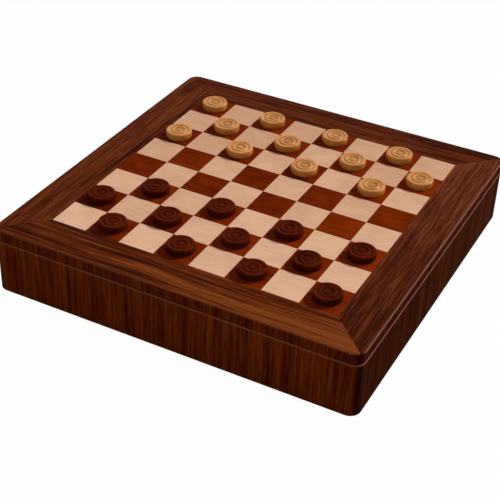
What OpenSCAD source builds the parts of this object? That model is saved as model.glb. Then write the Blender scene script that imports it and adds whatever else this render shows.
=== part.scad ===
// Games compendium box: a square walnut-veneered case with a lift-off lid whose top is a
// draughts and chess board, a lift-out tray of lined wells, and draughts set out on the board.
// Origin: middle of the underside. X runs along the front, Y towards the back, Z up. Millimetres.

/* [Board] */
// Side of one square of the board
square_w = 40; // [38:0.5:46]
// Width of the mitred border round the squares
border_w = 44; // [36:1:60]
// Thickness of the veneers on top of the lid
veneer_t = 1; // [0.6:0.1:1.6]

/* [Lid] */
// Height of the lid, from the joint to the board
lid_h = 13; // [11:0.5:20]
// Thickness of the panel under the veneers
lid_core_t = 7; // [5:0.5:8]
// Rounding along the top edge of the lid
lid_round = 1.2; // [0.5:0.1:2.5]
// Rounding along the bottom edge of the lid
lid_under_round = 1.2; // [0.5:0.1:2]

/* [Case] */
// Height of the joint under the lid above the table
case_h = 61; // [58:1:90]
// Thickness of the case walls
wall_t = 10; // [8:0.5:12]
// Radius of the upright corners
corner_r = 12; // [6:1:20]
// Rounding along the top rim of the case
rim_round = 1.8; // [0.5:0.1:3]
// Rounding along the bottom edge of the case
foot_round = 0.8; // [0.3:0.1:2]
// Thickness of the bottom panel
bottom_t = 5; // [3:0.5:6]
// Width of the rebate that holds the bottom panel
rebate_w = 5; // [3:0.5:6]
// Thickness of the liner boards inside the walls
liner_t = 4; // [3:0.5:6]
// Play between the liner's lip and the lid
lip_play = 0.4; // [0.2:0.1:1]
// Gap between the top of the lip and the lid's lining
lip_head = 0.6; // [0.3:0.1:1]

/* [Baize] */
// Thickness of the baize
baize_t = 0.8; // [0.5:0.1:1.2]
// Play round the baize pads in the wells
pad_play = 0.3; // [0.1:0.1:0.6]

/* [Tray] */
// Height of the tray
tray_h = 32; // [30:1:38]
// Thickness of the tray walls
tray_wall_t = 4; // [3:0.5:5]
// Thickness of the tray floor
tray_floor_t = 2.5; // [2:0.5:4]
// Thickness of the dividers
divider_t = 3; // [2:0.5:4]
// How far the dividers stay below the tray walls
divider_drop = 2; // [0:0.5:4]
// Gap at the ends of the short dividers
joint_gap = 0.1; // [0.05:0.05:0.3]
// Play round the tray
tray_play = 1; // [0.5:0.1:1.5]
// Width and height of the bearers under the tray
bearer_w = 6; // [4:0.5:8]
// Radius of the finger notches in the tray's side walls
notch_r = 13; // [9:0.5:16]

/* [Games] */
// Diameter of a draught
draught_d = 30; // [26:0.5:32]
// Thickness of a draught
draught_h = 8; // [6:0.5:10]
// Depth of the grooves turned in a draught
groove_d = 0.6; // [0.3:0.1:1]
// Length of a playing card
card_l = 88; // [80:1:92]
// Width of a playing card
card_w = 63; // [56:1:66]
// Thickness of a pack of cards
pack_t = 17; // [14:0.5:20]
// Length of a domino
domino_l = 46; // [40:1:47]
// Width of a domino
domino_w = 23; // [20:0.5:24]
// Thickness of a domino
domino_t = 7.5; // [6:0.5:9]
// Side of a die
die_w = 15; // [12:0.5:18]
// Diameter of the king's base
king_d = 25; // [22:0.5:26]
// Height of the king
king_h = 62; // [56:1:64]
// Room for the fingers at the end of a well
finger_room = 10; // [6:1:14]
// Play beside the games in their wells
game_play = 1; // [0.5:0.1:2]
// How clear a piece stays of what it lies on
seat_gap = 0.1; // [0.05:0.05:0.3]

/* [Hidden] */
$fn = 64;

// The four sides of a mitred frame are one side turned about the middle
FRONT = 0;
RIGHT = 90;
BACK = 180;
LEFT = 270;

// Colours, as the finishes look
walnut = "#5a2c18";
walnut_dark = "#3d1a0d";
maple = "#dcb78f";
padauk = "#7d2a10";
boxwood = "#d3a05f";
rosewood = "#4a1a0c";
baize = "#1f4a2c";
ivory = "#e8dfc8";
card_white = "#e6e2d8";
cedar = "#8a5a3a";

squares = 8;
board_w = squares * square_w;
case_w = board_w + 2 * border_w;
top_z = case_h + lid_h;
over = 1; // how far a cutting shape runs past what it cuts

// Heights, from the table up
panel_z = baize_t;
floor_z = panel_z + bottom_t;
recess_h = lid_h - veneer_t - lid_core_t;
recess_z = case_h + recess_h;
lip_z = recess_z - baize_t - lip_head;
tray_z = case_h - tray_h;
tray_floor_z = tray_z + tray_floor_t;
well_z = tray_floor_z + baize_t;
divider_z = case_h - divider_drop;

// Half widths, from the middle out
liner_half = case_w / 2 - wall_t;
well_half = liner_half - liner_t;
lid_inner_half = liner_half + lip_play;
tray_half = well_half - tray_play;
bay_half = tray_half - tray_wall_t;

// ---- Outlines and edges ----

// Plan of the case: a square with rounded corners
module case_plan() {
    square([case_w - 2 * corner_r, case_w], center = true);
    square([case_w, case_w - 2 * corner_r], center = true);
    for (x = [-1, 1], y = [-1, 1])
        translate([x * (case_w / 2 - corner_r), y * (case_w / 2 - corner_r)]) circle(corner_r);
}

// What a rounding takes off the corner of a section, with the corner at 0,0
module rounding_section(r) {
    difference() {
        translate([-r, -r]) square(r + over);
        translate([-r, -r]) circle(r);
    }
}

// What a rounding takes off along the whole outer edge of the case at height 0
module edge_rounding(r) {
    for (turn = [FRONT, RIGHT, BACK, LEFT]) rotate(turn) {
        translate([case_w / 2 - corner_r, -case_w / 2, 0]) rotate([90, 0, -90])
            linear_extrude(case_w - 2 * corner_r) rounding_section(r);
        translate([case_w / 2 - corner_r, corner_r - case_w / 2, 0]) rotate(-90)
            rotate_extrude(angle = 90) translate([corner_r, 0]) rounding_section(r);
    }
}

// The quarter of the case that the front side keeps between its two mitres
module mitre_quarter(bottom, top) {
    reach = case_w / 2 + over;
    translate([0, 0, bottom]) linear_extrude(top - bottom)
        polygon([[0, 0], [-reach, -reach], [reach, -reach]]);
}

// One side of the outer shell, from height bottom to top, with its outer edges rounded
module shell_side(turn, bottom, top, inner_half) {
    rotate(turn) difference() {
        intersection() {
            translate([0, 0, bottom]) linear_extrude(top - bottom) case_plan();
            mitre_quarter(bottom, top);
        }
        translate([-inner_half, -inner_half, bottom - over])
            cube([2 * inner_half, 2 * inner_half, top - bottom + 2 * over]);
        children();
    }
}

// One mitred side of an inner frame: a section, drawn inwards and up, run along the front
module frame_side(turn, half, bottom, top) {
    rotate(turn) intersection() {
        translate([-half, -half, 0]) rotate([90, 0, 90]) linear_extrude(2 * half) children();
        mitre_quarter(bottom, top);
    }
}

// Section of a board with its top edges rounded
module board_section(thick, bottom, top, r) {
    translate([0, bottom]) square([thick, top - bottom - r]);
    translate([r, bottom]) square([thick - 2 * r, top - bottom]);
    for (x = [r, thick - r]) translate([x, top - r]) circle(r);
}

// ---- Case ----

module case_wall(turn) {
    panel_half = liner_half + rebate_w;
    color(walnut_dark) shell_side(turn, 0, case_h, liner_half) {
        translate([-panel_half, -panel_half, -over])
            cube([2 * panel_half, 2 * panel_half, floor_z + over]);
        translate([0, 0, case_h]) edge_rounding(rim_round);
        mirror([0, 0, 1]) edge_rounding(foot_round);
    }
}

module case_bottom() {
    half = liner_half + rebate_w;
    color(cedar) translate([-half, -half, panel_z]) cube([2 * half, 2 * half, bottom_t]);
}

// The baize under the case fills the rebate below the panel, flush with the walls' feet
module underside_baize() {
    half = liner_half + rebate_w;
    color(baize) translate([-half, -half, 0]) cube([2 * half, 2 * half, baize_t]);
}

module floor_baize() {
    half = well_half - pad_play;
    color(baize) translate([-half, -half, floor_z]) cube([2 * half, 2 * half, baize_t]);
}

module liner(turn) {
    lip_round = liner_t * 0.4;
    color(cedar) frame_side(turn, liner_half, floor_z, lip_z)
        board_section(liner_t, floor_z, lip_z, lip_round);
}

module tray_bearers() {
    length = 2 * (well_half - bearer_w);
    color(cedar) for (side = [-1, 1])
        translate([side * (well_half - bearer_w / 2), 0, tray_z - bearer_w / 2])
            cube([bearer_w, length, bearer_w], center = true);
}

// ---- Lid ----

module lid_side(turn) {
    color(walnut_dark) shell_side(turn, case_h, top_z - veneer_t, lid_inner_half) {
        translate([0, 0, top_z]) edge_rounding(lid_round);
        translate([0, 0, case_h]) mirror([0, 0, 1]) edge_rounding(lid_under_round);
    }
}

module border(turn) {
    color(walnut) shell_side(turn, top_z - veneer_t, top_z, board_w / 2)
        translate([0, 0, top_z]) edge_rounding(lid_round);
}

module lid_core() {
    color(cedar) translate([-lid_inner_half, -lid_inner_half, recess_z])
        cube([2 * lid_inner_half, 2 * lid_inner_half, lid_core_t]);
}

// Every second square, as solids side by side; shade is 0 for the light ones and 1 for the dark
module board_squares(shade) {
    for (i = [0 : squares - 1], j = [0 : squares - 1])
        if ((i + j) % 2 == shade)
            translate([i * square_w - board_w / 2, j * square_w - board_w / 2, top_z - veneer_t])
                cube([square_w, square_w, veneer_t]);
}

module light_squares() {
    color(maple) board_squares(0);
}

module dark_squares() {
    color(padauk) board_squares(1);
}

module lid_baize() {
    half = lid_inner_half - pad_play;
    color(baize) translate([-half, -half, recess_z - baize_t]) cube([2 * half, 2 * half, baize_t]);
}

// ---- Tray: rows of wells from the front to the back, bays from left to right ----

men_row = king_h + 3 * game_play; // a man lies tilted, so its foot reaches further back
cards_row = card_l + finger_room;
draughts_row = draught_d + 2 * game_play;
rows = 5;
bay_w = 2 * bay_half;
spare_row = bay_w - 2 * men_row - cards_row - draughts_row - (rows - 1) * divider_t;
row_sizes = [men_row, cards_row, spare_row, draughts_row, men_row];

per_stack = 12; // draughts to a well, on edge side by side
domino_cols = 7;
domino_rows = 2;
domino_layers = 2;
card_bay = card_w + 2 * game_play;
domino_bay = domino_cols * domino_w + 2 * game_play;
dice_bay = bay_w - 2 * card_bay - domino_bay - 3 * divider_t;
draught_bay = per_stack * draught_h + finger_room;
middle_bay = bay_w - 2 * draught_bay - 2 * divider_t;
spare_bay = (bay_w - divider_t) / 2;
bay_sizes = [
    [bay_w],
    [card_bay, card_bay, domino_bay, dice_bay],
    [spare_bay, spare_bay],
    [draught_bay, middle_bay, draught_bay],
    [bay_w],
];

function total(sizes, n) = n == 0 ? 0 : sizes[n - 1] + total(sizes, n - 1);
function start(sizes, k) = total(sizes, k) + k * divider_t - bay_half;

module tray_floor() {
    color(cedar) translate([-bay_half, -bay_half, tray_z]) cube([bay_w, bay_w, tray_floor_t]);
}

module tray_wall(turn) {
    top_round = tray_wall_t * 0.3;
    color(cedar) difference() {
        frame_side(turn, tray_half, tray_z, case_h)
            board_section(tray_wall_t, tray_z, case_h, top_round);
        if (turn == LEFT || turn == RIGHT) // the notches by which the tray is lifted
            translate([-tray_half - over, 0, case_h]) rotate([0, 90, 0])
                cylinder(r = notch_r, h = 2 * (tray_half + over));
    }
}

module tray_dividers() {
    height = divider_z - tray_floor_z;
    color(cedar) for (row = [0 : rows - 1]) {
        y = start(row_sizes, row);
        if (row > 0)
            translate([-bay_half, y - divider_t, tray_floor_z]) cube([bay_w, divider_t, height]);
        for (bay = [1 : 1 : len(bay_sizes[row]) - 1])
            translate([start(bay_sizes[row], bay) - divider_t, y + joint_gap, tray_floor_z])
                cube([divider_t, row_sizes[row] - 2 * joint_gap, height]);
    }
}

module tray_baize() {
    color(baize) for (row = [0 : rows - 1], bay = [0 : len(bay_sizes[row]) - 1])
        translate([start(bay_sizes[row], bay), start(row_sizes, row), tray_floor_z])
            translate([pad_play, pad_play, 0])
                cube([bay_sizes[row][bay] - 2 * pad_play, row_sizes[row] - 2 * pad_play, baize_t]);
}

// ---- Games in the tray ----

module card_packs() {
    round_r = card_w * 0.05;
    color(card_white) for (bay = [0, 1])
        translate([start(bay_sizes[1], bay) + card_bay / 2, start(row_sizes, 1) + cards_row / 2, well_z])
            linear_extrude(pack_t) {
                square([card_w - 2 * round_r, card_l], center = true);
                square([card_w, card_l - 2 * round_r], center = true);
                for (x = [-1, 1], y = [-1, 1])
                    translate([x * (card_w / 2 - round_r), y * (card_l / 2 - round_r)]) circle(round_r);
            }
}

module dominoes() {
    gap_x = (domino_bay - domino_cols * domino_w) / (domino_cols + 1);
    gap_y = (cards_row - domino_rows * domino_l) / (domino_rows + 1);
    color(ivory) translate([start(bay_sizes[1], 2), start(row_sizes, 1), well_z])
        for (i = [0 : domino_cols - 1], j = [0 : domino_rows - 1], k = [0 : domino_layers - 1])
            translate([gap_x + i * (domino_w + gap_x), gap_y + j * (domino_l + gap_y),
                       k * (domino_t + seat_gap)])
                cube([domino_w, domino_l, domino_t]);
}

// Where the dice lie in their well, as shares of its size from its middle, and how each is turned
dice_spots = [[-0.22, -0.3, 14], [0.2, -0.22, -20], [-0.08, 0.02, 35], [0.22, 0.2, 6], [-0.2, 0.32, -12]];

module dice() {
    x = start(bay_sizes[1], 3) + dice_bay / 2;
    y = start(row_sizes, 1) + cards_row / 2;
    color(ivory) for (spot = dice_spots)
        translate([x + spot[0] * dice_bay, y + spot[1] * cards_row, well_z + die_w / 2]) rotate(spot[2])
            intersection() {
                cube(die_w, center = true);
                sphere(d = die_w * 1.5);
            }
}

// ---- Chessmen, turned upright at the origin and then laid on their sides ----

// Kind, base and height against the king's, and where its head is widest: how far up and how wide
men = [
    ["rook", 0.87, 0.60, 1.00, 0.62],
    ["knight", 0.87, 0.70, 1.00, 0.32],
    ["bishop", 0.87, 0.80, 0.81, 0.47],
    ["queen", 0.96, 0.92, 0.92, 0.66],
    ["king", 1.00, 1.00, 0.86, 0.66],
    ["pawn", 0.76, 0.55, 0.87, 0.46],
];
line_up = [0, 1, 2, 3, 4, 2, 1, 0, 5, 5, 5, 5, 5, 5, 5, 5];
bead_share = 0.13; // radius of the foot's bead against the base's radius

// The concave stem between two heights, as the outline of one side
function stem(r_low, r_high, low, high) = concat([[0, low]],
    [for (t = [0 : 0.125 : 1]) [r_high + (r_low - r_high) * pow(1 - t, 2.4), low + t * (high - low)]],
    [[0, high]]);

module bead(r, r_bead, height) {
    translate([0, height - r_bead]) square([r - r_bead, 2 * r_bead]);
    translate([r - r_bead, height]) circle(r_bead);
}

module foot_and_stem(r, neck, r_neck) {
    r_bead = r * bead_share;
    rotate_extrude() intersection() {
        union() {
            bead(r, r_bead, r_bead);
            bead(r * 0.84, r_bead * 0.8, r_bead * 2.7);
            polygon(stem(r * 0.72, r_neck, r_bead * 3, neck));
            bead(r_neck * 1.5, r_bead * 0.7, neck);
        }
        square([r, neck + r]);
    }
}

// A cup that flares from the neck, for the king, the queen and the rook
module cup(r_low, r_high, low, high) {
    rise = (high - low) * 0.3;
    rotate_extrude()
        polygon([[0, low], [r_low, low], [r_low * 1.1, low + rise], [r_high, high], [0, high]]);
}

module man(kind, r, h) {
    if (kind == "pawn") {
        foot_and_stem(r, h - r * 0.86, r * 0.34);
        translate([0, 0, h - r * 0.46]) sphere(r * 0.46);
    }
    if (kind == "rook") difference() {
        union() {
            foot_and_stem(r, h * 0.68, r * 0.44);
            translate([0, 0, h * 0.68]) cylinder(r = r * 0.5, h = h * 0.14);
            translate([0, 0, h * 0.8]) cylinder(r = r * 0.62, h = h * 0.2);
        }
        translate([0, 0, h * 0.9]) cylinder(r = r * 0.42, h = h);
        for (turn = [0, 60, 120]) rotate(turn)
            translate([-r, -r * 0.1, h * 0.92]) cube([2 * r, r * 0.2, h]);
    }
    if (kind == "bishop") difference() {
        union() {
            foot_and_stem(r, h * 0.68, r * 0.36);
            translate([0, 0, h - r * 0.86]) rotate_extrude() intersection() {
                translate([-r * 0.25, 0]) circle(r * 0.72);
                translate([0, -r * 0.66]) square([r, r * 1.33]);
            }
            translate([0, 0, h - r * 0.13]) sphere(r * 0.13);
        }
        translate([r * 0.12, 0, h - r * 0.8]) rotate([0, 35, 0])
            translate([0, -r, 0]) cube([r * 0.08, 2 * r, r]);
    }
    if (kind == "queen") difference() {
        union() {
            foot_and_stem(r, h * 0.68, r * 0.38);
            cup(r * 0.36, r * 0.66, h * 0.68, h * 0.92);
            translate([0, 0, h * 0.9]) cylinder(r1 = r * 0.4, r2 = r * 0.16, h = h * 0.06);
            translate([0, 0, h - r * 0.17]) sphere(r * 0.17);
        }
        for (turn = [0 : 45 : 315]) rotate(turn)
            translate([r * 0.62, 0, h * 0.93]) rotate([0, 90, 0])
                cylinder(r = r * 0.12, h = r, center = true);
    }
    if (kind == "king") {
        foot_and_stem(r, h * 0.64, r * 0.38);
        cup(r * 0.36, r * 0.66, h * 0.64, h * 0.86);
        translate([0, 0, h * 0.86]) cylinder(r1 = r * 0.6, r2 = r * 0.2, h = h * 0.05);
        translate([-r * 0.08, -r * 0.09, h * 0.9]) cube([r * 0.16, r * 0.18, h * 0.1]);
        translate([-r * 0.26, -r * 0.09, h * 0.94]) cube([r * 0.52, r * 0.18, h * 0.025]);
    }
    if (kind == "knight") {
        foot_and_stem(r, h * 0.3, r * 0.5);
        difference() {
            translate([0, 0, h * 0.3]) rotate([90, 0, 0]) linear_extrude(r * 0.64, center = true)
                polygon([
                    [-r * 0.55, 0], [-r * 0.62, h * 0.2], [-r * 0.5, h * 0.44], [-r * 0.22, h * 0.62],
                    [0, h * 0.7], [r * 0.1, h * 0.6], [r * 0.42, h * 0.5], [r * 0.8, h * 0.34],
                    [r * 0.72, h * 0.24], [r * 0.4, h * 0.28], [r * 0.1, h * 0.24], [r * 0.3, h * 0.12],
                    [r * 0.5, 0],
                ]);
            translate([r * 0.14, 0, h * 0.3 + h * 0.47]) rotate([90, 0, 0])
                cylinder(r = r * 0.06, h = r, center = true);
        }
    }
}

// The sixteen men of one side, lying in a row with their feet at y
module chessmen(y) {
    base = [for (k = line_up) king_d * men[k][1]];
    gap = (bay_w - total(base, len(base))) / (len(base) + 1);
    for (n = [0 : len(line_up) - 1]) {
        kind = men[line_up[n]];
        r = base[n] / 2;
        h = king_h * kind[2];
        head_z = h * kind[3];
        head_r = r * kind[4];
        r_bead = r * bead_share;
        tilt = atan((r - head_r) / (head_z - r_bead));
        lift = max(r_bead * sin(tilt) + (r - r_bead) * cos(tilt) + r_bead, head_z * sin(tilt) + head_r);
        back = (r - r_bead) * sin(tilt) + r_bead * (1 - cos(tilt));
        translate([total(base, n) + (n + 1) * gap + r - bay_half, y + back, well_z + lift + seat_gap])
            rotate([-90 - tilt, 0, 0]) man(kind[0], r, h);
    }
}

module light_chessmen() {
    color(boxwood) chessmen(start(row_sizes, 0) + game_play);
}

module dark_chessmen() {
    color(rosewood) chessmen(start(row_sizes, 4) + game_play);
}

// ---- Draughts ----

edge_bead = draught_d * 0.055;   // radius of the outer edge of each face
rim_bead = draught_d * 0.09;     // radius of the slope from the rim down to the groove inside it
ring_bead = draught_d * 0.08;    // radius of the ring half way in
button_bead = draught_d * 0.055; // radius of the button in the middle
dimple_d = draught_h * 0.045;    // depth of the button's dimple
land_d = draught_h * 0.006;      // worn off the rim's crest, so that it stands flat
belly_r = draught_d * 0.5;       // radius of the bulge of the side, in section

// Half of the turned section, from the middle plane up to one face
module draught_section() {
    r = draught_d / 2;
    face = draught_h / 2;
    side = face - edge_bead; // up to here the belly shapes the side
    edge = r - belly_r + sqrt(pow(belly_r, 2) - pow(side, 2)) - edge_bead;
    rim = r * 0.8;
    ring = r * 0.51;
    button = r * 0.155;
    intersection() {
        union() {
            square([edge, face - groove_d]);
            intersection() {
                square([r, side]);
                translate([r - belly_r, 0]) circle(belly_r);
            }
            translate([rim, 0]) square([edge - rim, face]);
            translate([edge, side + land_d]) circle(edge_bead);
            translate([rim, face - rim_bead + land_d]) circle(rim_bead);
            translate([ring, face - ring_bead]) circle(ring_bead);
            translate([button, face - button_bead]) circle(button_bead);
            square([button, face - dimple_d]);
        }
        square([r, face]);
    }
}

// A draught standing on the board, turned alike on both faces
module draught(at, stray) {
    translate([(at[0] + 0.5) * square_w - board_w / 2 + stray[0],
               (at[1] + 0.5) * square_w - board_w / 2 + stray[1], top_z + draught_h / 2])
        rotate_extrude() {
            draught_section();
            mirror([0, 1]) draught_section();
        }
}

// Square of draught n, counted along the dark squares of the last three or the first three rows
per_row = squares / 2;
function light_square(n) = let (j = squares - 1 - floor(n / per_row)) [2 * (n % per_row) + (j + 1) % 2, j];
function dark_square(n) = let (j = floor(n / per_row)) [2 * (n % per_row) + (j + 1) % 2, j];

// How far each draught stands off the middle of its square
light_stray = [[2, 0.5], [-0.5, 0.5], [0.5, 0], [0, 0], [0.5, 0], [-0.5, -0.5],
               [0, 0.5], [0, 0], [0.5, -1], [-0.5, -0.5], [-0.5, 0.5], [0, 0]];
dark_stray = [[0, 0.5], [0, 0], [0.5, 0], [0, 0.5], [0, 0], [1.5, -1],
              [0, 0], [0, 0], [1.5, 1], [0.5, 2], [0, 0], [0.5, 0]];

module light_draught(n) {
    color(boxwood) draught(light_square(n - 1), light_stray[n - 1]);
}

module dark_draught(n) {
    color(rosewood) draught(dark_square(n - 1), dark_stray[n - 1]);
}

case_wall(FRONT);  // case_wall_front
case_wall(RIGHT);  // case_wall_right
case_wall(BACK);  // case_wall_back
case_wall(LEFT);  // case_wall_left
case_bottom();
underside_baize();
floor_baize();
liner(FRONT);  // liner_front
liner(RIGHT);  // liner_right
liner(BACK);  // liner_back
liner(LEFT);  // liner_left
tray_bearers();
lid_side(FRONT);  // lid_side_front
lid_side(RIGHT);  // lid_side_right
lid_side(BACK);  // lid_side_back
lid_side(LEFT);  // lid_side_left
border(FRONT);  // border_front
border(RIGHT);  // border_right
border(BACK);  // border_back
border(LEFT);  // border_left
lid_core();
light_squares();
dark_squares();
lid_baize();
tray_floor();
tray_wall(FRONT);  // tray_wall_front
tray_wall(RIGHT);  // tray_wall_right
tray_wall(BACK);  // tray_wall_back
tray_wall(LEFT);  // tray_wall_left
tray_dividers();
tray_baize();
light_chessmen();
dark_chessmen();
dominoes();
card_packs();
dice();
light_draught(1);  // light_draught_1
light_draught(2);  // light_draught_2
light_draught(3);  // light_draught_3
light_draught(4);  // light_draught_4
light_draught(5);  // light_draught_5
light_draught(6);  // light_draught_6
light_draught(7);  // light_draught_7
light_draught(8);  // light_draught_8
light_draught(9);  // light_draught_9
light_draught(10);  // light_draught_10
light_draught(11);  // light_draught_11
light_draught(12);  // light_draught_12
dark_draught(1);  // dark_draught_1
dark_draught(2);  // dark_draught_2
dark_draught(3);  // dark_draught_3
dark_draught(4);  // dark_draught_4
dark_draught(5);  // dark_draught_5
dark_draught(6);  // dark_draught_6
dark_draught(7);  // dark_draught_7
dark_draught(8);  // dark_draught_8
dark_draught(9);  // dark_draught_9
dark_draught(10);  // dark_draught_10
dark_draught(11);  // dark_draught_11
dark_draught(12);  // dark_draught_12
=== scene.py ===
import bpy
import bmesh
import math
import random
from mathutils import Matrix, Vector


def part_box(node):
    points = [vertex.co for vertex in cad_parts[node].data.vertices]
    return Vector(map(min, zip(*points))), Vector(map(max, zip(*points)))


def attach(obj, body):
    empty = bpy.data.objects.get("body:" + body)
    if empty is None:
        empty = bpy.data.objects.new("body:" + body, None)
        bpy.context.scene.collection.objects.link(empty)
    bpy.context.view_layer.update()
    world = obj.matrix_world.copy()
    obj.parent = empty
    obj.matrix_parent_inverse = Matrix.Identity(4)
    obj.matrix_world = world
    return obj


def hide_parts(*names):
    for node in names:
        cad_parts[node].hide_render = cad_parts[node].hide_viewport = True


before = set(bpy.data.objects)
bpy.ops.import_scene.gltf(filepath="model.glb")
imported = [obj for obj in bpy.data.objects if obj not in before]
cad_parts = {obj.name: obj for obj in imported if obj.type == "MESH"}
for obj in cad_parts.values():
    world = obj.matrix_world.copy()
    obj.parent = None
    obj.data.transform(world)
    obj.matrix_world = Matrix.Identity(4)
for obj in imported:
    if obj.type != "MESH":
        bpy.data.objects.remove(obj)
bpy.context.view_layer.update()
print("frame loaded")

# sizes read off the frame, in metres; the roundings are the shell's own
case = {
    "half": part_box("case_wall_right")[1].x,
    "innerHalf": -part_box("liner_front")[0].y,
    "panelHalf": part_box("case_bottom")[1].x,
    "floorZ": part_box("case_bottom")[1].z,
    "jointZ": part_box("lid_side_front")[0].z,
    "cornerRadius": 0.012, "cornerSteps": 14,
    "rimRound": 0.0018, "rimSteps": 5,
    "footRound": 0.0008, "footSteps": 4,
}
lid = {
    "half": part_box("border_right")[1].x,
    "innerHalf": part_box("lid_core")[1].x,
    "veneerZ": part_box("border_front")[0].z,
    "topZ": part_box("border_front")[1].z,
    "topRound": 0.0012,
    "underRound": 0.0012,
}
board = {"half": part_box("light_squares")[1].x, "squares": 8, "easing": 0.00012}
board["square"] = 2 * board["half"] / board["squares"]
sides = ["front", "right", "back", "left"]
over = 0.001  # how far a cutter or a change of colour runs past an edge
hair = 0.0001  # the same for a sharp change of colour
near = 1e-6  # points closer than this are one
# the draughts and the packs of cards stand here because their finishes follow their sizes
draught = {
    "each": 12, "radius": 0.015, "height": 0.008, "groove": 0.0008, "belly": 0.015, "steps": 96,
    "edgeBead": 0.0013, "rimBead": 0.0055, "rimAt": 0.86, "ringBead": 0.0022, "ringAt": 0.51,
    "dome": 0.0066, "cove": 0.00008, "coveAt": 0.29,
}
packLow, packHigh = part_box("card_packs")
pack = {
    "middle": (packLow.x + packHigh.x) / 2, "length": packHigh.y - packLow.y, "width": 0.063,
    "corner": 0.0032, "layers": 5, "slip": 0.0004, "lattice": 0.0034, "margin": 0.0045,
    "shade": (0.52, 0.49, 0.42), "paper": (0.80, 0.77, 0.70), "red": (0.30, 0.016, 0.012),
    "blue": (0.012, 0.035, 0.16),
}


# modelling by hand: pick what is worked on, then operate on it

def pickOnly(*objs):
    if bpy.context.object and bpy.context.object.mode != "OBJECT":
        bpy.ops.object.mode_set(mode="OBJECT")
    bpy.ops.object.select_all(action="DESELECT")
    for obj in objs:
        obj.select_set(True)
    bpy.context.view_layer.objects.active = objs[0]


def grab(obj, kind, test=None):  # edit mode, with the parts that pass the test selected
    pickOnly(obj)
    bpy.ops.object.mode_set(mode="EDIT")
    bpy.ops.mesh.select_mode(type=kind)
    bpy.ops.mesh.select_all(action="SELECT" if test is None else "DESELECT")
    if test:
        mesh = bmesh.from_edit_mesh(obj.data)
        for part in {"FACE": mesh.faces, "EDGE": mesh.edges, "VERT": mesh.verts}[kind]:
            if test(part):
                part.select_set(True)
        mesh.select_flush_mode()
        bmesh.update_edit_mesh(obj.data)


def letGo():
    bpy.ops.object.mode_set(mode="OBJECT")


def modify(obj, kind, **settings):
    pickOnly(obj)
    bpy.ops.object.modifier_add(type=kind)
    modifier = obj.modifiers[-1]
    for name, value in settings.items():
        setattr(modifier, name, value)
    bpy.ops.object.modifier_apply(modifier=modifier.name)


def block(name, low, high):  # a box between two corners
    low, high = Vector(low), Vector(high)
    bpy.ops.object.select_all(action="DESELECT")
    bpy.ops.mesh.primitive_cube_add(size=1, location=(low + high) / 2)
    obj = bpy.context.object
    obj.name = obj.data.name = name
    obj.scale = high - low
    bpy.ops.object.transform_apply(location=True, rotation=True, scale=True)
    return obj


def copyOf(obj, name):
    new = obj.copy()
    new.data = obj.data.copy()
    new.name = new.data.name = name
    bpy.context.collection.objects.link(new)
    new.hide_render = new.hide_viewport = False
    return new


def discard(obj):
    bpy.data.objects.remove(obj)


def bevelEdges(obj, test, offset, segments):
    grab(obj, "EDGE", test)
    bpy.ops.mesh.bevel(offset=offset, segments=segments, affect="EDGES")
    letGo()


def cutAway(obj, low, high):  # what lies between two corners
    cutter = block("cutter", low, high)
    modify(obj, "BOOLEAN", object=cutter, operation="DIFFERENCE", solver="EXACT")
    discard(cutter)


def cutFlat(obj, point, normal):  # keeps what lies behind the plane, and closes the cut
    grab(obj, "FACE")
    bpy.ops.mesh.bisect(
        plane_co=point, plane_no=normal, use_fill=True, clear_outer=True, threshold=near)
    letGo()


def smooth(obj, angle=32, weighted=True):
    pickOnly(obj)
    bpy.ops.object.shade_smooth_by_angle(angle=math.radians(angle))
    if weighted:
        modify(obj, "WEIGHTED_NORMAL", keep_sharp=True)


def merged(objs, name):
    pickOnly(*objs)
    if len(objs) > 1:
        bpy.ops.object.join()
    objs[0].name = objs[0].data.name = name
    return objs[0]


def dressIn(obj, *finishNames):
    obj.data.materials.clear()
    for name in finishNames:
        obj.data.materials.append(finishes[name])


def standFor(obj, slot, body, *nodes):
    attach(obj, body)
    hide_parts(*nodes)


# shader maths: a socket that takes Python's operators, and one method that adds any node

class Wire:
    def __init__(self, finish, socket):
        self.finish = finish
        self.socket = socket

    def calc(self, operation, *values):
        return self.finish.node("ShaderNodeMath", {"operation": operation}, values)

    def __add__(self, other):
        return self.calc("ADD", self, other)

    def __sub__(self, other):
        return self.calc("SUBTRACT", self, other)

    def __mul__(self, other):
        return self.calc("MULTIPLY", self, other)

    def __truediv__(self, other):
        return self.calc("DIVIDE", self, other)

    def __radd__(self, other):
        return self.calc("ADD", other, self)

    def __rsub__(self, other):
        return self.calc("SUBTRACT", other, self)

    def __rmul__(self, other):
        return self.calc("MULTIPLY", other, self)

    def __rtruediv__(self, other):
        return self.calc("DIVIDE", other, self)

    def __abs__(self):
        return self.calc("ABSOLUTE", self)

    def floor(self):
        return self.calc("FLOOR", self)

    def most(self, other):
        return self.calc("MAXIMUM", self, other)


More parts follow.
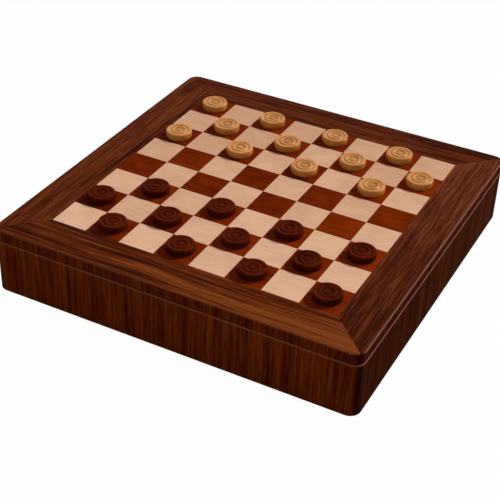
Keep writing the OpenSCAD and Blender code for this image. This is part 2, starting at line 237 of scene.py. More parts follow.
class Finish:
    def __init__(self, name, holder=None):
        self.holder = holder or bpy.data.materials.new(name)
        self.holder.use_nodes = True
        self.tree = self.holder.node_tree
        self.tree.nodes.clear()

    def node(self, kind, settings, inputs, output=0):
        new = self.tree.nodes.new(kind)
        for key, value in settings.items():
            if key == "stops":
                self.setStops(new.color_ramp.elements, value)
            else:
                setattr(new, key, value)
        for key, value in inputs.items() if isinstance(inputs, dict) else enumerate(inputs):
            socket = new.inputs[key]
            if isinstance(value, Wire):
                self.tree.links.new(value.socket, socket)
            elif socket.type == "RGBA":
                socket.default_value = (*value, 1)
            else:
                socket.default_value = value
        return Wire(self, new.outputs[output]) if new.outputs else new

    def setStops(self, elements, stops):
        elements.remove(elements[1])
        for n, (place, colour) in enumerate(stops):
            stop = elements[0] if n == 0 else elements.new(place)
            stop.position = place
            stop.color = (*colour, 1)

    def place(self):
        return self.node("ShaderNodeTexCoord", {}, [], "Object")

    def attribute(self, name):
        return self.node("ShaderNodeAttribute", {"attribute_name": name}, [], "Vector")

    def split(self, vector):
        outputs = self.node("ShaderNodeSeparateXYZ", {}, [vector]).socket.node.outputs
        return [Wire(self, socket) for socket in outputs]

    def join(self, x, y, z):
        return self.node("ShaderNodeCombineXYZ", {}, [x, y, z])

    def noise(self, vector, scale, detail, roughness=0.5):
        values = {"Vector": vector, "Scale": scale, "Detail": detail, "Roughness": roughness}
        return self.node("ShaderNodeTexNoise", {}, values)

    def ramp(self, value, *stops):
        return self.node("ShaderNodeValToRGB", {"stops": stops}, [value])

    def between(self, value, low, high):  # 0 at low and 1 at high
        values = {"Value": value, "From Min": low, "From Max": high}
        return self.node("ShaderNodeMapRange", {}, values)

    def mix(self, factor, first, second):  # a Mix node's colour sockets go by number
        values = {0: factor, 6: first, 7: second}
        return self.node("ShaderNodeMix", {"data_type": "RGBA"}, values, 2)

    def bump(self, height, distance, strength):
        values = {"Height": height, "Distance": distance, "Strength": strength}
        return self.node("ShaderNodeBump", {}, values)

    def surface(self, values):
        self.output(self.node("ShaderNodeBsdfPrincipled", {}, values))
        return self.holder

    def output(self, shader, kind="ShaderNodeOutputMaterial"):
        self.node(kind, {}, {"Surface": shader})


# walnut: bands and lines run along the grain, with open pores; the eased edges are painted
# lighter, partly as worn wood and partly as a painted highlight.
# lift sets the tone; lean slopes it in x and y, a painted gradient of light and shade; stripe
# darkens a length of a border: the distances from the squares at which that starts and is full,
# and how deep it goes

walnuts = {
    "front": {
        "dark": (0.034, 0.0050, 0.0008), "mid": (0.128, 0.0225, 0.0036),
        "light": (0.230, 0.0580, 0.0130), "rubbedAndHighlight": (0.190, 0.0550, 0.0190),
        "axis": "X", "shift": 0.11, "sway": 0.012, "lift": 0.018, "paintedLightLean": (0.40, 0.0),
        "stripe": (0.016, 0.0, 0.05), "bands": 0.55, "lines": 0.50, "streaks": 0.48,
        "bandScale": 100, "lineScale": 400, "specular": 0.008, "lidShade": 0.0,
    },
    "right": {
        "dark": (0.042, 0.0072, 0.0024), "mid": (0.115, 0.0220, 0.0075),
        "light": (0.205, 0.0500, 0.0200), "rubbedAndHighlight": (0.290, 0.1200, 0.0850),
        "axis": "Y", "shift": 0.29, "sway": 0.003, "lift": 0.172, "paintedLightLean": (-1.2, 0.34),
        "stripe": None, "bands": 0.36, "lines": 0.74, "streaks": 0.70,
        "bandScale": 150, "lineScale": 900, "specular": 0.008, "lidShade": 0.0,
    },
    "back": {
        "dark": (0.019, 0.0024, 0.0003), "mid": (0.080, 0.0120, 0.0021),
        "light": (0.160, 0.0330, 0.0076), "rubbedAndHighlight": (0.190, 0.0550, 0.0190),
        "axis": "X", "shift": 0.53, "sway": 0.006, "lift": -0.075, "paintedLightLean": (0.0, 0.0),
        "stripe": (0.018, 0.034, 0.06), "bands": 0.50, "lines": 0.75, "streaks": 0.60,
        "bandScale": 140, "lineScale": 560, "specular": 0.008, "lidShade": 0.0,
    },
    "left": {
        "dark": (0.025, 0.0034, 0.0006), "mid": (0.083, 0.0140, 0.0026),
        "light": (0.158, 0.0335, 0.0074), "rubbedAndHighlight": (0.120, 0.0300, 0.0090),
        "axis": "Y", "shift": 0.83, "sway": 0.006, "lift": -0.06, "paintedLightLean": (0.0, 0.0),
        "stripe": (0.006, 0.0, 0.12), "bands": 0.55, "lines": 0.72, "streaks": 0.60,
        "bandScale": 130, "lineScale": 520, "specular": 0.008, "lidShade": 0.0,
    },
    "side": {
        "dark": (0.040, 0.0037, 0.0003), "mid": (0.116, 0.0150, 0.0009),
        "light": (0.187, 0.0340, 0.0026), "rubbedAndHighlight": (0.270, 0.0800, 0.0250),
        "axis": "Z", "shift": 0.0, "sway": 0.0, "lift": 0.0, "paintedLightLean": (0.0, 0.0),
        "stripe": None, "bands": 0.48, "lines": 0.62, "streaks": 0.55,
        "bandScale": 175, "lineScale": 480, "specular": 0.0, "lidShade": 0.05,
    },
    # the right and back: a darker copy of the side, painted shade, with a pinkish painted
    # highlight on the eased edges
    "farSide": {
        "dark": (0.030, 0.0062, 0.0027), "mid": (0.054, 0.0126, 0.0052),
        "light": (0.082, 0.0210, 0.0094), "rubbedAndHighlight": (0.330, 0.1350, 0.0950),
        "axis": "Z", "shift": 0.0, "sway": 0.0, "lift": 0.0, "paintedLightLean": (0.0, 0.33),
        "stripe": None, "bands": 0.50, "lines": 0.50, "streaks": 0.45,
        "bandScale": 150, "lineScale": 520, "specular": 0.0, "lidShade": 0.0,
    },
}
walnut = {
    "stretch": 0.030, "poreScale": 1400, "fibreScale": 2700, "roughness": 0.45,
    "sheenTint": (1.0, 0.62, 0.42), "rubbedAndHighlightWidth": 0.0018, "seamShadeColour": (0.006, 0.0010, 0.0002),
    # the corner colour and its depth paint shade along the rounded corners; the next two entries
    # paint shade in the gap under the lid
    "corner": (0.010, 0.0016, 0.0003), "cornerShadeDepth": 0.62, "seamShadeDepth": 0.9, "pitStain": 0.55,
    "stops": (0.40, 0.52, 0.66), "streakSpan": (0.44, 0.34), "poreSpan": (0.38, 0.32),
}
# where most of a noise's values lie, in the woods that show and in the rest
woodSpan, plainSpan = (0.34, 0.66), (0.35, 0.65)


def alongGrain(finish, axis, stretch, shift, sway):
    x, y, z = finish.split(finish.place())
    if axis == "Z":
        return finish.join(x, y, z * stretch + shift)
    bend = (finish.noise(finish.join(x, y, z + shift), 6, 1) - 0.5) * sway
    if axis == "X":
        return finish.join(x * stretch + shift, y + bend, z + shift)
    return finish.join(x + bend, y * stretch + shift, z + shift)


# the eased edges painted lighter: partly worn wood, partly a painted highlight where the rounding
# catches the light
def rubbedEdgeAndHighlight(finish, fibres):  # 1 along the eased edges of the lid and the case's rim
    x, y, z = finish.split(finish.place())
    width, half = walnut["rubbedAndHighlightWidth"], lid["half"]
    top = finish.between(abs(x).most(abs(y)), half - width, half - width * 0.3)
    top = top * finish.between(z, lid["topZ"] - width, lid["topZ"] - width * 0.6)
    middle = case["jointZ"] - case["rimRound"] * 0.45
    rim = finish.between(abs(z - middle), case["rimRound"] * 0.75, case["rimRound"] * 0.45)
    return top.most(rim) * (fibres * 0.6 + 0.35)


def seamShadow(finish, z):  # 1 in the lid's lower edge, just over the joint: painted shade in the gap
    low, reach = case["jointZ"], lid["underRound"]
    onLid = finish.between(z, low, low + hair)
    return finish.between(z, low + reach * 1.3, low + reach * 0.8) * onLid


def cornerShade(finish, x, y):  # 1 along a rounded corner, where shade is painted in
    both = abs(x) + abs(y) - abs(x).most(abs(y))  # the lesser of the two
    start, full = (case["half"] - case["cornerRadius"] * share for share in (0.9, 0.4))
    return finish.between(both, start, full)


def makeWalnut(name, look):
    finish = Finish(name)
    axis = look["axis"]
    x, y, z = finish.split(finish.place())
    flow = alongGrain(finish, axis, walnut["stretch"], look["shift"], look["sway"])
    bands = finish.noise(flow, look["bandScale"], 3, 0.55)
    lines = finish.noise(flow, look["lineScale"], 3, 0.65)
    pores = finish.noise(flow, walnut["poreScale"], 1, 0.5)
    fibres = finish.noise(flow, walnut["fibreScale"], 2, 0.7)
    tone = bands * look["bands"] + lines * look["lines"] + (fibres - 0.5) * 0.2
    # painted light and shade: each sheet brighter towards where more light falls
    tone = tone + x * look["paintedLightLean"][0] + y * look["paintedLightLean"][1] + look["lift"]
    if look["lidShade"]:
        onLid = finish.between(z, case["jointZ"] - over, case["jointZ"] + over)
        tone = tone - onLid * look["lidShade"]
    if look["stripe"]:
        start, full, depth = look["stripe"]
        away = abs(y if axis == "X" else x) + (bands - 0.5) * 0.03 - board["half"]
        tone = tone - finish.between(away, start, full) * depth
    colour = finish.ramp(tone, *zip(walnut["stops"], (look["dark"], look["mid"], look["light"])))
    streaks = finish.between(lines, *walnut["streakSpan"]) * look["streaks"]
    colour = finish.mix(streaks, colour, look["dark"])
    pits = finish.between(pores, *walnut["poreSpan"])
    colour = finish.mix(pits * walnut["pitStain"], colour, look["dark"])
    # painted shade along the rounded corners
    if axis == "Z":
        paintedShade = cornerShade(finish, x, y) * walnut["cornerShadeDepth"]
        colour = finish.mix(paintedShade, colour, walnut["corner"])
    colour = finish.mix(rubbedEdgeAndHighlight(finish, fibres), colour, look["rubbedAndHighlight"])
    if axis == "Z":
        # painted shade in the gap under the lid
        paintedShade = seamShadow(finish, z) * walnut["seamShadeDepth"]
        colour = finish.mix(paintedShade, colour, walnut["seamShadeColour"])
    return finish.surface({
        "Base Color": colour, "Roughness": walnut["roughness"] + pits * 0.2,
        "Specular IOR Level": look["specular"], "Specular Tint": walnut["sheenTint"],
        "Normal": finish.bump(fibres * 0.4 - pits, 0.00006, 0.6)})


# the squares: each is cut from its own place in the sheet

squareVeneers = {
    "maple": {
        "dark": (0.63, 0.348, 0.207), "light": (0.83, 0.502, 0.324), "lineScale": 700,
        "vary": 0.14, "paintedLightFade": (0.45, -0.80), "roughness": 0.45, "specular": 0.06,
        "tint": (1.0, 0.85, 0.7),
    },
    "padauk": {
        "dark": (0.088, 0.0068, 0.0002), "light": (0.250, 0.0290, 0.0009), "lineScale": 430,
        "vary": 0.16, "paintedLightFade": (0.55, 0.15), "roughness": 0.42, "specular": 0.004,
        "tint": (1.0, 0.55, 0.3),
    },
}
squareGrain = {"stretch": 0.05, "clouds": 45, "fibres": 3200}


def makeSquareVeneer(name, look):
    finish = Finish(name)
    x, y, z = finish.split(finish.place())
    column = ((x + board["half"]) / board["square"]).floor()
    row = ((y + board["half"]) / board["square"]).floor()
    cell = finish.join(column, row, 0.5)
    sawn = finish.node("ShaderNodeTexWhiteNoise", {"noise_dimensions": "3D"}, [cell])
    flow = finish.join(x * squareGrain["stretch"] + sawn * 3, y + sawn * 0.7, z)
    lines = finish.noise(flow, look["lineScale"], 3, 0.6)
    fibres = finish.noise(flow, squareGrain["fibres"], 2, 0.6)
    clouds = finish.noise(finish.join(x + sawn, y, z), squareGrain["clouds"], 2)
    tone = lines * 0.5 + clouds * 0.3 + fibres * 0.2 + (sawn - 0.5) * look["vary"]
    tone = tone + x * look["paintedLightFade"][0] + y * look["paintedLightFade"][1]  # painted light and shade: the squares brighten across the board as if lit unevenly
    colour = finish.mix(finish.between(tone, *woodSpan), look["dark"], look["light"])
    return finish.surface({
        "Base Color": colour, "Roughness": look["roughness"] + (lines - 0.5) * 0.1,
        "Specular IOR Level": look["specular"], "Specular Tint": look["tint"],
        "Normal": finish.bump(fibres, 0.00003, 0.5)})


# turned wood: the grain runs across a draught and along a chessman

turnedWoods = {
    "boxwood": {
        "dark": (0.46, 0.157, 0.027), "light": (0.74, 0.318, 0.073),
        "roughness": 0.25, "specular": 0.24, "tint": (1.0, 0.80, 0.55),
        "grooveShadeColour": (0.17, 0.042, 0.006), "inGroove": 0.34, "onSide": 0.24,
    },
    "rosewood": {
        "dark": (0.042, 0.0036, 0.0001), "light": (0.138, 0.0158, 0.0006),
        "roughness": 0.16, "specular": 0.005, "tint": (1.0, 0.50, 0.30),
        "grooveShadeColour": (0.010, 0.0008, 0.0001), "inGroove": 0.40, "onSide": 0.45,
    },
}
turnedGrain = {"lines": 330, "clouds": 70, "fibres": 2400}


def paintedGrooveShade(finish, look):  # painted shade in a draught's grooves and on its side
    reach, height = finish.split(finish.attribute("turning"))[:2]
    crest, groove, bead = draught["height"] / 2, draught["groove"], draught["edgeBead"]
    onFace = finish.between(reach, draught["radius"] * 0.955, draught["radius"] * 0.94)
    sunk = onFace * finish.between(height, crest - groove * 0.25, crest - groove)
    side = (1 - onFace) * finish.between(height, crest - bead * 0.5, crest - bead * 1.5)
    return sunk * look["inGroove"] + side * look["onSide"]


def makeTurnedWood(name, look, isDraught):  # each draught carries its own grain
    finish = Finish(name)
    x, y, z = finish.split(finish.attribute("grain") if isDraught else finish.place())
    lines = finish.noise(finish.join(x, y * 0.05, z), turnedGrain["lines"], 3, 0.6)
    clouds = finish.noise(finish.join(x, y * 0.3, z), turnedGrain["clouds"], 2)
    fibres = finish.noise(finish.join(x, y * 0.04, z), turnedGrain["fibres"], 2, 0.7)
    tone = lines * 0.5 + clouds * 0.35 + fibres * 0.15
    colour = finish.mix(finish.between(tone, *woodSpan), look["dark"], look["light"])
    if isDraught:
        # painted shade darkens the grooves and the side
        colour = finish.mix(paintedGrooveShade(finish, look), colour, look["grooveShadeColour"])
    return finish.surface({
        "Base Color": colour, "Roughness": look["roughness"] + (fibres - 0.5) * 0.12,
        "Specular IOR Level": look["specular"], "Specular Tint": look["tint"],
        "Normal": finish.bump(fibres, 0.00003, 0.4)})


def makePlainWood(name, dark, light, axis, scale):
    finish = Finish(name)
    flow = alongGrain(finish, axis, stretch=0.05, shift=0.3, sway=0.006)
    bands = finish.noise(flow, scale, 3, 0.6)
    fibres = finish.noise(flow, 2400, 2, 0.7)
    colour = finish.mix(finish.between(bands * 0.8 + fibres * 0.2, *plainSpan), dark, light)
    return finish.surface({
        "Base Color": colour, "Roughness": 0.5 + (fibres - 0.5) * 0.15, "Specular IOR Level": 0.25,
        "Normal": finish.bump(fibres, 0.00005, 0.5)})


def makeFelt(name, dark, light):
    finish = Finish(name)
    fuzz = finish.noise(finish.place(), 1400, 4, 0.7)
    worn = finish.noise(finish.place(), 30, 2)
    colour = finish.mix(finish.between(fuzz * 0.7 + worn * 0.3, 0.3, 0.7), dark, light)
    return finish.surface({
        "Base Color": colour, "Roughness": 0.95, "Specular IOR Level": 0.05, "Sheen Weight": 0.15,
        "Sheen Roughness": 0.5, "Normal": finish.bump(fuzz, 0.0003, 0.8)})


def makeMoulded(name, dark, light, roughness):
    finish = Finish(name)
    clouds = finish.noise(finish.place(), 110, 3)
    grain = finish.noise(finish.place(), 2500, 2)
    colour = finish.mix(finish.between(clouds, *plainSpan), dark, light)
    return finish.surface({
        "Base Color": colour, "Roughness": roughness + (grain - 0.5) * 0.1,
        "Specular IOR Level": 0.45, "Normal": finish.bump(grain, 0.00002, 0.4)})


def makeCards():  # the edges show each card; the backs carry a lattice, red or blue
    finish = Finish("playing cards")
    x, y, z = finish.split(finish.place())
    u, v, top = finish.split(finish.attribute("back"))
    edges = finish.noise(finish.join(x * 0.02, y * 0.02, z), 5200, 1)
    paper = finish.mix(finish.between(edges, *plainSpan), pack["shade"], pack["paper"])
    first, second = (u + v) / pack["lattice"], (u - v) / pack["lattice"]
    diamond = abs(first - first.floor() - 0.5).most(abs(second - second.floor() - 0.5))
    outside = (abs(u) - pack["width"] / 2).most(abs(v) - pack["length"] / 2) + pack["margin"]
    printed = finish.between(diamond, 0.41, 0.37) * finish.between(outside, hair, -hair)
    onRight = finish.between(x, pack["middle"] - over, pack["middle"] + over)
    ink = finish.mix(onRight, pack["red"], pack["blue"])
    colour = finish.mix(top, paper, finish.mix(printed, pack["paper"], ink))
    return finish.surface({
        "Base Color": colour, "Roughness": 0.42 + (edges - 0.5) * 0.1, "Specular IOR Level": 0.4,
        "Normal": finish.bump(edges * (1 - top), 0.00015, 0.5)})


def makeBrass():
    finish = Finish("brass pin")
    worn = finish.noise(finish.place(), 900, 2)
    colour = finish.mix(finish.between(worn, *plainSpan), (0.50, 0.33, 0.11), (0.72, 0.52, 0.22))
    return finish.surface({
        "Base Color": colour, "Metallic": 1.0, "Roughness": 0.25 + worn * 0.2,
        "Normal": finish.bump(worn, 0.00002, 0.3)})


cedarDark, cedarLight = (0.20, 0.075, 0.028), (0.34, 0.15, 0.062)
finishes = {
    "boxwood": makeTurnedWood("boxwood", turnedWoods["boxwood"], True),
    "rosewood": makeTurnedWood("rosewood", turnedWoods["rosewood"], True),
    "lightMen": makeTurnedWood("boxwood men", turnedWoods["boxwood"], False),
    "darkMen": makeTurnedWood("rosewood men", turnedWoods["rosewood"], False),
    "cedarX": makePlainWood("cedar along", cedarDark, cedarLight, "X", 160),
    "cedarY": makePlainWood("cedar across", cedarDark, cedarLight, "Y", 160),
    "ply": makePlainWood("ply panel", (0.36, 0.22, 0.11), (0.50, 0.33, 0.17), "X", 60),
    "baize": makeFelt("green baize", (0.006, 0.034, 0.014), (0.018, 0.080, 0.036)),
    "cards": makeCards(),
    "ivory": makeMoulded("cream resin", (0.66, 0.57, 0.38), (0.76, 0.69, 0.52), 0.3),
    "pip": makeMoulded("pip paint", (0.006, 0.006, 0.006), (0.016, 0.015, 0.014), 0.45),
    "brass": makeBrass(),
}
for sheet, look in walnuts.items():
    finishes["walnut_" + sheet] = makeWalnut("walnut " + sheet, look)
for wood, look in squareVeneers.items():
    finishes[wood] = makeSquareVeneer(wood + " squares", look)
print("finishes made")


# camera, light and floor

# the camera as fitted to the board's grid in the photo; focal length and width in its pixels
photo = {
    "place": (0.47849, -0.98317, 0.74550), "axis": (-0.369023, 0.737984, -0.564980), "roll": 2.2,
    "focal": 1195.4, "width": 500, "sensor": 36,
}
light = {
    "azimuth": 55, "height": 38, "sun": 2.4, "sunAngle": 6, "sunColour": (1.0, 0.975, 0.94),
    "sky": 0.384, "floorTone": 0.62, "floorSize": 14.0, "floorGlow": 0.98, "floorDrop": 0.0002,
}


def makeCamera():
    lens = bpy.data.cameras.new("camera")
    lens.sensor_width = photo["sensor"]
    lens.lens = photo["focal"] / photo["width"] * photo["sensor"]
    camera = bpy.data.objects.new("camera", lens)
    bpy.context.scene.collection.objects.link(camera)
    level = Vector(photo["axis"]).to_track_quat("-Z", "Y").to_matrix().to_4x4()
    roll = Matrix.Rotation(math.radians(photo["roll"]), 4, "Z")
    camera.matrix_world = Matrix.Translation(photo["place"]) @ level @ roll
    bpy.context.scene.camera = camera


def makeSun():
    lamp = bpy.data.lights.new("sun", "SUN")
    lamp.energy = light["sun"]
    lamp.angle = math.radians(light["sunAngle"])
    lamp.color = light["sunColour"]
    sun = bpy.data.objects.new("sun", lamp)
    bpy.context.scene.collection.objects.link(sun)
    azimuth, height = math.radians(light["azimuth"]), math.radians(light["height"])
    level = math.cos(height)
    towards = Vector((math.cos(azimuth) * level, math.sin(azimuth) * level, math.sin(height)))
    sun.matrix_world = towards.to_track_quat("Z", "Y").to_matrix().to_4x4()


def seenDirectly(finish):  # 1 where the camera, a reflection or a clear piece shows the background
    rays = finish.node("ShaderNodeLightPath", {}, []).socket.node.outputs
    names = ("Is Camera Ray", "Is Glossy Ray", "Is Transmission Ray")
    camera, glossy, clear = (Wire(finish, rays[name]) for name in names)
    return camera.most(glossy).most(clear)


def makeSky():
    world = bpy.data.worlds.new("studio")
    bpy.context.scene.world = world
    finish = Finish("studio", world)
    strength = light["sky"] + seenDirectly(finish) * (1 - light["sky"])
    back = finish.node("ShaderNodeBackground", {}, {"Color": (1, 1, 1), "Strength": strength})
    finish.output(back, "ShaderNodeOutputWorld")


def makeFloor():
    bpy.ops.object.select_all(action="DESELECT")
    bpy.ops.mesh.primitive_plane_add(size=light["floorSize"], location=(0, 0, -light["floorDrop"]))
    floor = bpy.context.object
    floor.name = "floor"
    bpy.ops.object.transform_apply(location=True)
    finish = Finish("pale floor")
    plain = finish.node("ShaderNodeBsdfDiffuse", {}, {"Color": [light["floorTone"]] * 3})
    white = finish.node("ShaderNodeEmission", {}, {"Color": (1, 1, 1), "Strength": 1.0})
    glow = seenDirectly(finish) * light["floorGlow"]
    finish.output(finish.node("ShaderNodeMixShader", {}, [glow, plain, white]))
    floor.data.materials.append(finish.holder)


makeCamera()
makeSun()
makeSky()
makeFloor()
bpy.context.scene.view_settings.view_transform = "Standard"
print("camera, light and floor set")


# the shell: one rounded solid for the case and one for the lid, hollowed, then cut at the mitres

def isUpright(edge):
    first, second = (vert.co for vert in edge.verts)
    return (first - second).xy.length < near


def isRimAt(z):  # an edge at that height between a level face and a side
    def test(edge):
        level = [abs(face.normal.z) > 0.9 for face in edge.link_faces]
        atHeight = all(abs(vert.co.z - z) < near for vert in edge.verts)
        return any(level) and not all(level) and atHeight
    return test


def roundedShell(name, half, low, high, lowRound, highRound):
    shell = block(name, (-half, -half, low), (half, half, high))
    bevelEdges(shell, isUpright, case["cornerRadius"], case["cornerSteps"])
    bevelEdges(shell, isRimAt(high), highRound, case["rimSteps"])
    bevelEdges(shell, isRimAt(low), lowRound, case["footSteps"])
    return shell


def hollow(shell, half, low, high):
    cutAway(shell, (-half, -half, low), (half, half, high))


def makeSides(shell, start, finishNames, slot, body):  # four mitred copies, each for its own node
    for turn, side in enumerate(sides):
        node = start + side
        piece = copyOf(shell, node + "_wood")
        for corner in (45, 135):  # the mitres at its two ends
            angle = math.radians(corner + 90 * turn)
            cutFlat(piece, (0, 0, 0), (math.cos(angle), math.sin(angle), 0))
        smooth(piece)
        dressIn(piece, finishNames[turn])
        standFor(piece, slot, body, node)
    discard(shell)


# the right and back sides wear the darker copy of the walnut: painted shade
sideFinishes = ["walnut_side", "walnut_farSide", "walnut_farSide", "walnut_side"]
caseShell = roundedShell(
    "caseShell", case["half"], 0, case["jointZ"], case["footRound"], case["rimRound"])
hollow(caseShell, case["innerHalf"], -over, case["jointZ"] + over)
hollow(caseShell, case["panelHalf"], -over, case["floorZ"])
makeSides(caseShell, "case_wall_", sideFinishes, "walnut_side", "case")

lidShell = roundedShell(
    "lidShell", lid["half"], case["jointZ"], lid["topZ"], lid["underRound"], lid["topRound"])
borderShell = copyOf(lidShell, "borderShell")
cutFlat(lidShell, (0, 0, lid["veneerZ"]), (0, 0, 1))
hollow(lidShell, lid["innerHalf"], case["jointZ"] - over, lid["veneerZ"] + over)
makeSides(lidShell, "lid_side_", sideFinishes, "walnut_side", "lid")
cutFlat(borderShell, (0, 0, lid["veneerZ"]), (0, 0, -1))
hollow(borderShell, board["half"], lid["veneerZ"] - over, lid["topZ"] + over)
makeSides(borderShell, "border_", ["walnut_" + side for side in sides], "walnut_border", "lid")
print("shell modelled")


# the board: one eased square of veneer, copied over the board

def makeSquares():
    size, half = board["square"], board["half"]
    low, high = lid["veneerZ"], lid["topZ"]
    first = block("square", (-half, -half, low), (size - half, size - half, high))
    bevelEdges(first, isRimAt(high), board["easing"], 1)
    sheets = [("light_squares", "maple"), ("dark_squares", "padauk")]
    for shade, (node, wood) in enumerate(sheets):
        laid = []
        for column in range(board["squares"]):
            for row in range(board["squares"]):
                if (column + row) % 2 == shade:
                    square = copyOf(first, "square")
                    square.data.transform(Matrix.Translation((column * size, row * size, 0)))
                    laid.append(square)
        veneer = merged(laid, node + "_veneer")
        dressIn(veneer, wood)
        standFor(veneer, wood, "lid", node)
    discard(first)


makeSquares()
print("board laid")


# draughts: one turned shape, copied on to each draught's place

chance = random.Random(7)


def arc(centre, radius, first, last, steps):  # outline points over a bead, angles in degrees
    angles = [math.radians(first + (last - first) * n / steps) for n in range(steps + 1)]
    return [(centre[0] + radius * math.cos(a), centre[1] + radius * math.sin(a)) for a in angles]


def dip(radius, depth):  # angle at which a bead reaches that depth below its crest
    return math.degrees(math.asin((radius - depth) / radius))


def draughtOutline():  # from the middle of one face round to the middle of the other
    radius, face, depth = draught["radius"], draught["height"] / 2, draught["groove"]
    dome, ring, rim, edge = (draught[key] for key in ("dome", "ringBead", "rimBead", "edgeBead"))
    cove, belly, side = face - depth - draught["cove"], draught["belly"], face - edge
    edgeAt = radius - belly + math.sqrt(belly ** 2 - side ** 2) - edge
    ringDip, rimDip = dip(ring, depth), dip(rim, depth + draught["cove"])
    half = arc((0, face - dome), dome, 90, dip(dome, depth), 8)
    half.append((radius * draught["coveAt"], cove))
    half += arc((radius * draught["ringAt"], face - ring), ring, 180 - ringDip, ringDip, 10)
    half += arc((radius * draught["rimAt"], face - rim), rim, 180 - rimDip, 90, 8)
    half += arc((edgeAt, face - edge), edge, 90, 4, 8)
    for z in (side * 0.75, side * 0.5, side * 0.25):
        half.append((radius - belly + math.sqrt(belly ** 2 - z * z), z))
    return half + [(radius, 0)] + [(x, -z) for x, z in reversed(half)]


def turnOnLathe(name, outline, steps):  # a point drawn out along the outline, then spun
    bpy.ops.object.select_all(action="DESELECT")
    bpy.ops.mesh.primitive_plane_add(size=0.001)
    obj = bpy.context.object
    obj.name = obj.data.name = name
    bpy.ops.object.mode_set(mode="EDIT")
    bpy.ops.mesh.select_mode(type="VERT")
    bpy.ops.mesh.select_all(action="SELECT")
    bpy.ops.mesh.merge(type="CENTER")
    bpy.ops.transform.translate(value=(outline[0][0], 0, outline[0][1]))
    for (x0, z0), (x1, z1) in zip(outline, outline[1:]):
        move = {"value": (x1 - x0, 0, z1 - z0)}
        bpy.ops.mesh.extrude_vertices_move(TRANSFORM_OT_translate=move)
    bpy.ops.mesh.select_all(action="SELECT")
    bpy.ops.mesh.spin(steps=steps, angle=2 * math.pi, center=(0, 0, 0), axis=(0, 0, 1))
    bpy.ops.mesh.select_all(action="SELECT")
    bpy.ops.mesh.remove_doubles(threshold=near)
    bpy.ops.mesh.normals_make_consistent(inside=False)
    letGo()
    return obj


def layGrain(obj, centre):  # each piece was cut its own way from the plank
    turn = Matrix.Rotation(chance.uniform(0, 2 * math.pi), 3, "Z")
    turn @= Matrix.Rotation(chance.uniform(-0.2, 0.2), 3, "X")
    shift = Vector([chance.uniform(-0.5, 0.5) for axis in range(3)])
    grain = obj.data.attributes.new("grain", "FLOAT_VECTOR", "POINT")
    turning = obj.data.attributes.new("turning", "FLOAT_VECTOR", "POINT")  # radius and height
    for n, vert in enumerate(obj.data.vertices):
        place = vert.co - centre
        grain.data[n].vector = turn @ place + shift
        turning.data[n].vector = (place.xy.length, abs(place.z), 0)


def makeDraughts():
    first = turnOnLathe("draught", draughtOutline(), draught["steps"])
    smooth(first, 50, weighted=False)
    for colour, wood in (("light", "boxwood"), ("dark", "rosewood")):
        for n in range(draught["each"]):
            node = f"{colour}_draught_{n + 1}"
            low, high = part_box(node)
            centre = (low + high) / 2
            piece = copyOf(first, node + "_turned")
            piece.data.transform(Matrix.Translation(centre))
            layGrain(piece, centre)
            dressIn(piece, wood)
            standFor(piece, wood, node, node)
    discard(first)


makeDraughts()
print("draughts turned")


# the tray's parts, the liners and the chessmen: copies of the nodes, eased or smoothed

def mergedCopy(node, name):  # a node's loose triangles joined up
    piece = copyOf(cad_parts[node], name)
    grab(piece, "VERT")
    bpy.ops.mesh.remove_doubles(threshold=near)
    letGo()
    return piece


def flattened(piece):  # one face for each flat side
    grab(piece, "FACE")
    bpy.ops.mesh.dissolve_limited(angle_limit=math.radians(0.5))
    letGo()
    return piece


def easeNode(node, width, finishName, body):
    piece = flattened(mergedCopy(node, node + "_eased"))
    sharp = math.radians(40)
    modify(piece, "BEVEL", width=width, segments=2, limit_method="ANGLE", angle_limit=sharp)
    smooth(piece)
    dressIn(piece, finishName)
    standFor(piece, "cedar", body, node)


for side, finishName in zip(sides, ["cedarX", "cedarY", "cedarX", "cedarY"]):
    easeNode("tray_wall_" + side, 0.0004, finishName, "tray")
    easeNode("liner_" + side, 0.0003, finishName, "case")
easeNode("tray_dividers", 0.0005, "cedarX", "tray")
for shade, wood in (("light", "boxwood"), ("dark", "rosewood")):
    men = mergedCopy(shade + "_chessmen", shade + "_men")
    smooth(men, 40, weighted=False)
    dressIn(men, shade + "Men")
    standFor(men, wood, "tray", shade + "_chessmen")
print("tray and chessmen finished")


# the games: one domino and one die, copied into their places, and packs stacked in layers

def boxOf(obj):
    axes = list(zip(*(vert.co for vert in obj.data.vertices)))
    return [Vector([pick(values) for values in axes]) for pick in (min, max)]


def looseParts(node):
    whole = flattened(mergedCopy(node, node + "_part"))
    pickOnly(whole)
    bpy.ops.mesh.separate(type="LOOSE")
    return sorted(bpy.context.selected_objects, key=lambda part: part.name)


def pipSpots(count):  # in steps from the middle of a face
    spots = [(-1, -1), (1, 1), (-1, 1), (1, -1)][:count // 2 * 2]
    if count == 6:
        spots += [(-1, 0), (1, 0)]
    return spots + [(0, 0)] * (count % 2)


def makePipBall(radius):
    bpy.ops.object.select_all(action="DESELECT")
    bpy.ops.mesh.primitive_uv_sphere_add(segments=12, ring_count=8, radius=radius)
    ball = bpy.context.object
    dressIn(ball, "ivory", "pip")
    for face in ball.data.polygons:
        face.material_index = 1
    return ball


def sinkPips(obj, ball, places):  # the cut faces keep the ball's second finish
    balls = []
    for place in places:
        balls.append(copyOf(ball, "pips"))
        balls[-1].data.transform(Matrix.Translation(place))
    cutter = merged(balls, "pips")
    modify(obj, "BOOLEAN", object=cutter, operation="DIFFERENCE", solver="EXACT")
    discard(cutter)


domino = {
    "most": 6, "easing": 0.0009, "pip": 0.0026, "pipDepth": 0.0009, "step": 0.0056,
    "groove": 0.0009, "pin": 0.0019, "pinSink": 0.00005,
}
die = {
    "easing": 0.0009, "pip": 0.0019, "pipDepth": 0.0007, "step": 0.0038, "ball": 0.75,
    "turns": [(0, 0), (90, 0), (0, 90), (0, -90), (-90, 0), (180, 0)],  # for one to six pips
}


